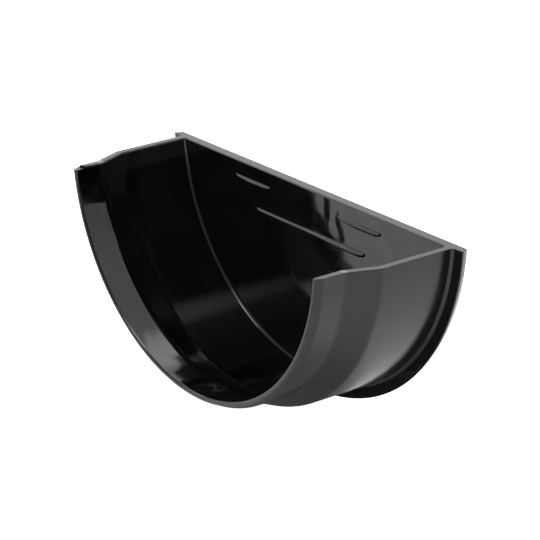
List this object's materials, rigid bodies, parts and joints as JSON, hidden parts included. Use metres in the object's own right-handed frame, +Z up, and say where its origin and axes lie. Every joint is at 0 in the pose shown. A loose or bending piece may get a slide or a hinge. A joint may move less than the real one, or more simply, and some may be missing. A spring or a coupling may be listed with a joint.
{
  "type": "gutter stop end",
  "caption": "Half-round gutter stop end in glossy black plastic: an open-topped cup with a narrower spigot at its mouth, a taper, and a flat end plate whose edge stands out as a flange.",
  "frame": {"origin": "under the middle of the part, at the height of the flange's lowest point", "axes": "+Y along the gutter's axis towards the outer face of the end plate, +X across the mouth, +Z up out of the open top"},
  "size_m": [0.1186, 0.0396, 0.0545],
  "materials": {
    "black_plastic": "gloss"
  },
  "bodies": {
    "root": {"stop_end": "black_plastic"}
  },
  "joints": []
}
